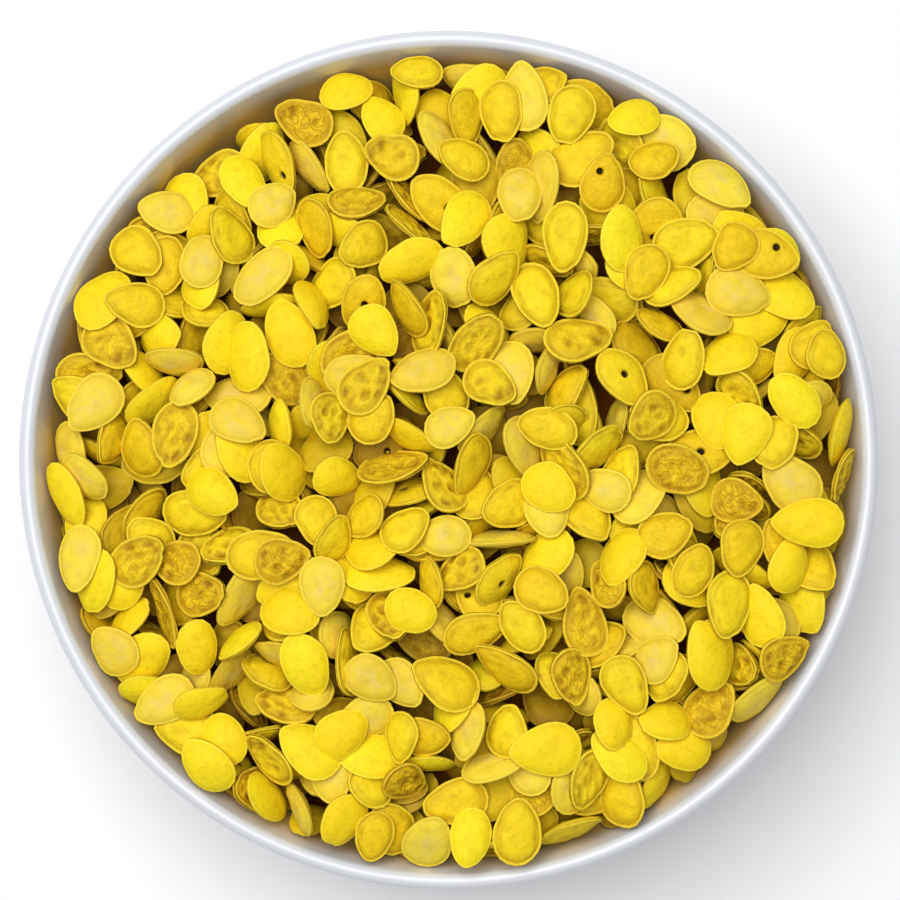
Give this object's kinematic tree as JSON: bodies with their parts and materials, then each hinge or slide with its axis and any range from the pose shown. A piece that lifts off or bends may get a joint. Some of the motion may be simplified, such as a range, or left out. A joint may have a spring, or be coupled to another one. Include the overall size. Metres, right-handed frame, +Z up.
{
  "type": "bowl of roasted pumpkin seeds",
  "caption": "Round white glazed bowl on a foot ring, filled to a low heap above its rim with yellow-coated roasted pumpkin seeds in their shells.",
  "frame": {"origin": "middle of the foot ring's underside, on the table", "axes": "+Z up along the bowl's axis; the picture looks straight down it, with +X to its right and +Y to its top"},
  "size_m": [0.18, 0.18, 0.0704],
  "materials": {
    "white_glaze": "glossy white glaze over porcelain, faintly cool",
    "roasted_seed": "dry, dull yellow spice coating on a woody seed coat, with browned creases"
  },
  "bodies": {
    "root": {"bowl": "white_glaze", "seed_heap": "roasted_seed"}
  },
  "joints": []
}
